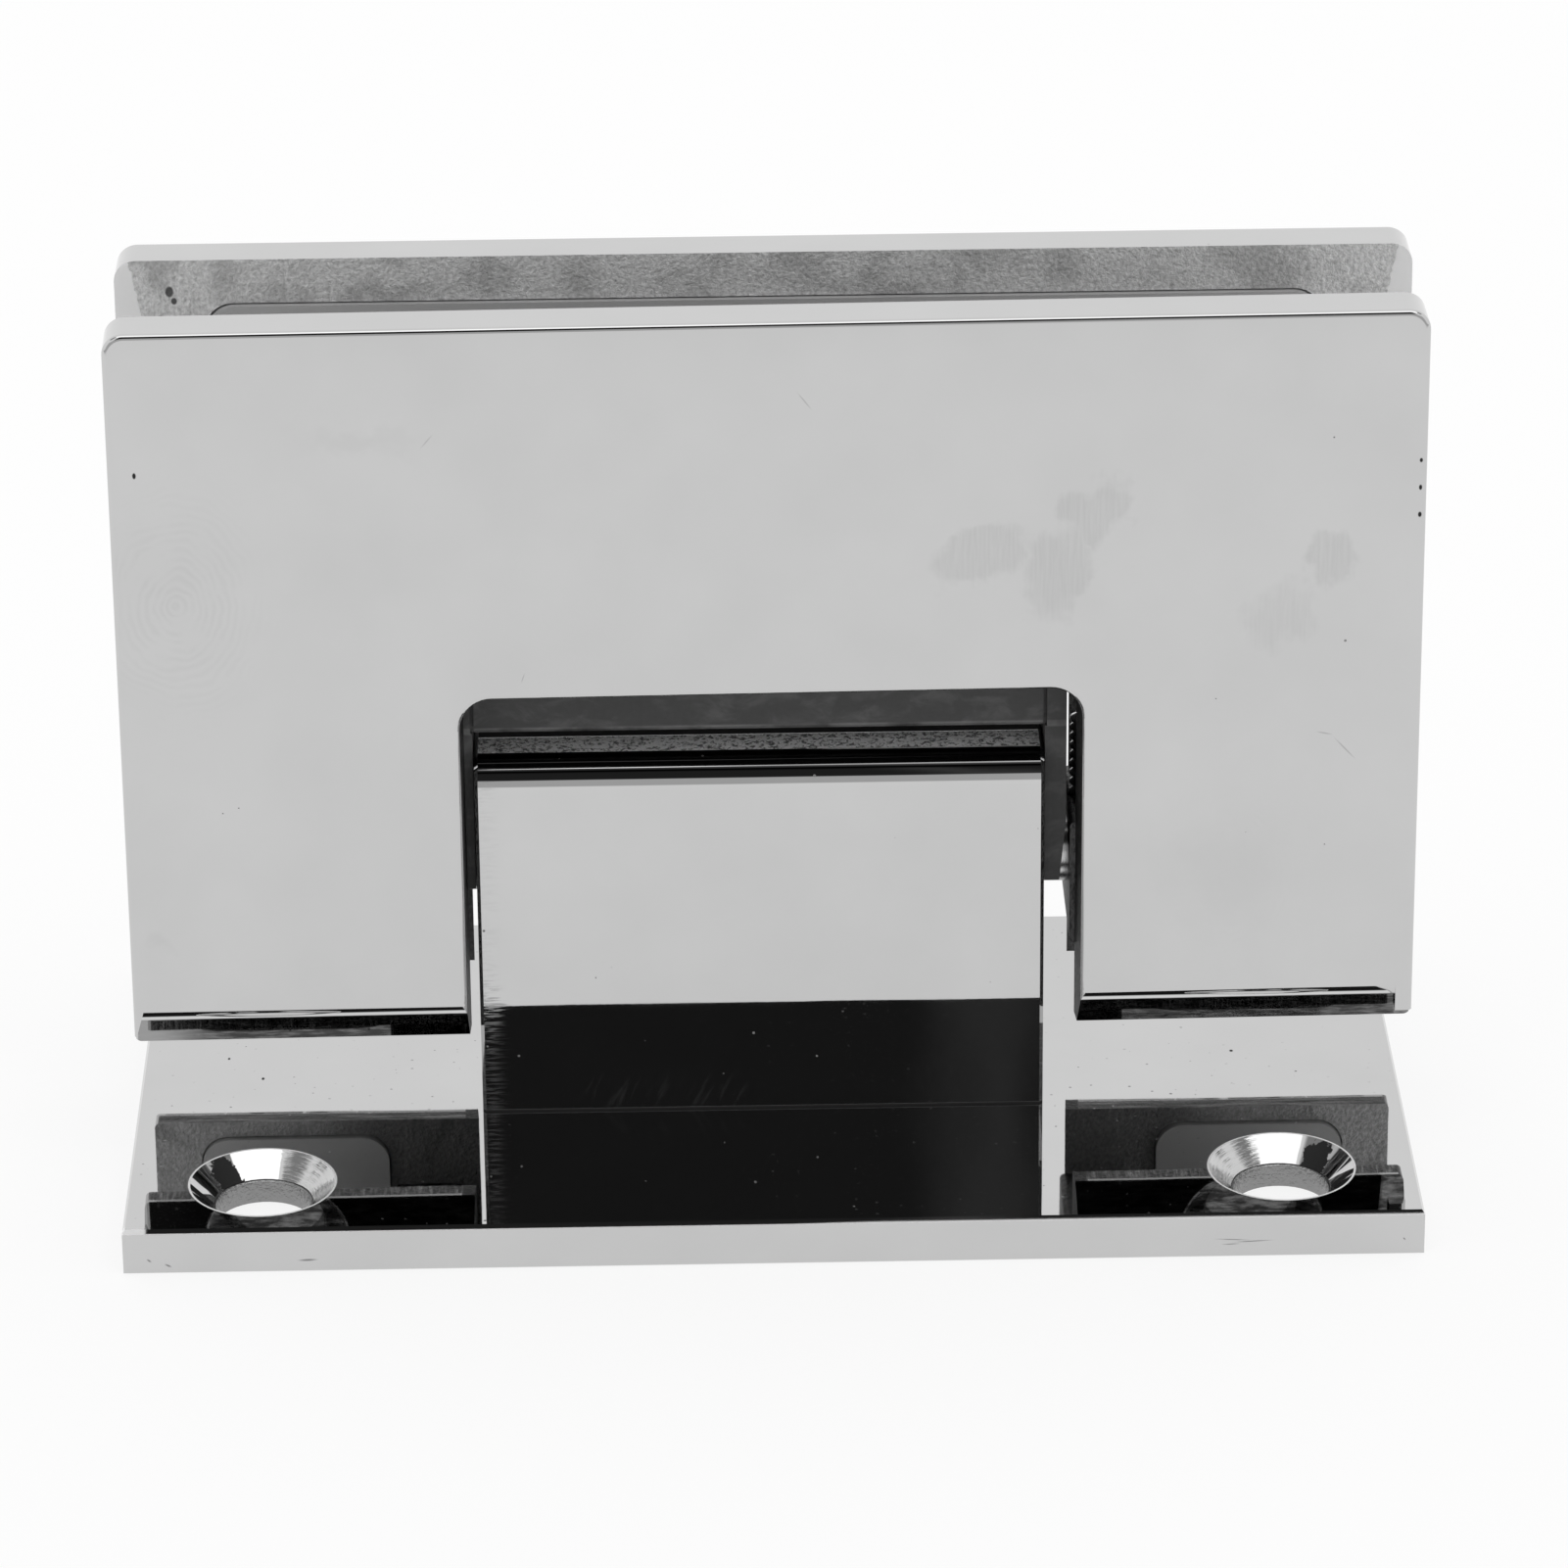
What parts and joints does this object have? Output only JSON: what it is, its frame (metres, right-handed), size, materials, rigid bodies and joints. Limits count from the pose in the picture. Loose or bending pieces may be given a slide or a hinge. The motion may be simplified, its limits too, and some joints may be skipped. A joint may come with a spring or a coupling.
{
  "type": "glass door hinge",
  "caption": "Wall-to-glass door hinge: flat wall plate, pivot block and a pair of notched clamp plates that turn about a pin.",
  "frame": {"origin": "centre of the wall plate's underside, which is the face that lies on the wall", "axes": "+Z out of the wall, X along the pivot pin, -Y towards the clamp plate that has no screws"},
  "size_m": [0.0903, 0.0484, 0.0637],
  "materials": {
    "polished_metal": "mirror polished outside, rough cast inside",
    "screw_steel": "plain stainless steel",
    "bush_nylon": "natural nylon",
    "gasket_plastic": "smooth grey",
    "liner_rubber": "grained dark grey"
  },
  "bodies": {
    "wall_mount": {"wall_plate": "polished_metal", "pivot_block": "polished_metal", "block_screw_left": "screw_steel", "block_screw_right": "screw_steel", "bush_left": "bush_nylon", "bush_right": "bush_nylon", "detent_spring_left": "screw_steel", "detent_spring_right": "screw_steel"},
    "clamp": {"front_clamp_plate": "polished_metal", "back_clamp_plate": "polished_metal", "front_gasket": "gasket_plastic", "back_gasket": "gasket_plastic", "clamp_screw_left": "screw_steel", "clamp_screw_right": "screw_steel", "pivot_pin": "screw_steel", "pin_lock_screw_left": "screw_steel", "pin_lock_screw_right": "screw_steel", "cutout_liner": "liner_rubber"},
    "plunger_left": {"detent_plunger_left": "screw_steel"},
    "plunger_right": {"detent_plunger_right": "screw_steel"}
  },
  "joints": [
    {"name": "door_swing", "type": "hinge", "parent": "wall_mount", "child": "clamp", "pos_m": [0, 0, 0.0206], "axis": [1, 0, 0], "range_deg": [-90, 90]},
    {"name": "detent_left", "type": "slide", "parent": "wall_mount", "child": "plunger_left", "axis": [0, 0, -1], "range_m": [0, 0.00035], "stiffness_N_per_m": 2000, "deforming": ["detent_spring_left"]},
    {"name": "detent_right", "type": "slide", "parent": "wall_mount", "child": "plunger_right", "axis": [0, 0, -1], "range_m": [0, 0.00035], "stiffness_N_per_m": 2000, "deforming": ["detent_spring_right"]}
  ]
}
